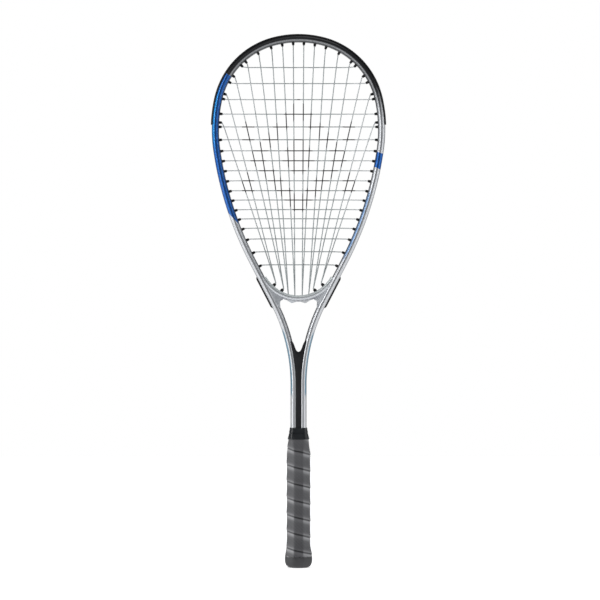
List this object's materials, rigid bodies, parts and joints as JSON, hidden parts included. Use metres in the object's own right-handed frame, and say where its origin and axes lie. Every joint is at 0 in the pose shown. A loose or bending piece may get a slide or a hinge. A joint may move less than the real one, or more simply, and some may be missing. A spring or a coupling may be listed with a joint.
{
  "type": "squash racket",
  "caption": "Open-throat squash racket: bent tube head and legs, woven string bed, moulded bridge, wrapped eight-sided grip and a sliding rubber collar.",
  "frame": {"origin": "middle of the flat end of the butt, which rests on z = 0", "axes": "+Z runs from the butt up through the head, the string bed lies in the XZ plane, and the two hitting faces look along -Y (front) and +Y (back)"},
  "size_m": [0.2254, 0.0316, 0.686],
  "materials": {
    "frame_paint": "metallic paint over drawn aluminium, in silver, blue and gloss black zones",
    "bridge_plastic": "satin silver moulded plastic",
    "black_plastic": "smooth black moulded plastic",
    "guard_plastic": "semi-gloss black nylon",
    "string": "translucent pale grey nylon, inked in the middle of the bed",
    "shell_plastic": "moulded rigid foam",
    "steel": "plain steel",
    "plug_rubber": "grey foam rubber",
    "cap_plastic": "soft dark grey plastic",
    "badge_plastic": "plain glossy grey disc",
    "grip_leather": "grey synthetic leather wrap with fine embossed striations",
    "tape": "black vinyl tape",
    "collar_rubber": "smooth black rubber with a soft sheen"
  },
  "bodies": {
    "racket": {"frame_tube": "frame_paint", "throat_bridge": "bridge_plastic", "throat_wedge": "black_plastic", "bumper_guard": "guard_plastic", "grommet_strip_left": "guard_plastic", "grommet_strip_right": "guard_plastic", "throat_strip_left": "guard_plastic", "throat_strip_right": "guard_plastic", "main_string": "string", "cross_string": "string", "handle_shell_front": "shell_plastic", "handle_shell_back": "shell_plastic", "handle_dowel": "steel", "leg_plugs": "plug_rubber", "butt_cap": "cap_plastic", "butt_badge": "badge_plastic", "butt_staples": "steel", "grip_wrap": "grip_leather", "grip_tack": "steel", "finishing_tape": "tape"},
    "collar": {"grip_collar": "collar_rubber"}
  },
  "joints": [
    {"name": "collar_slide", "type": "slide", "parent": "racket", "child": "collar", "axis": [0, 0, 1], "range_m": [0, 0.04]}
  ]
}
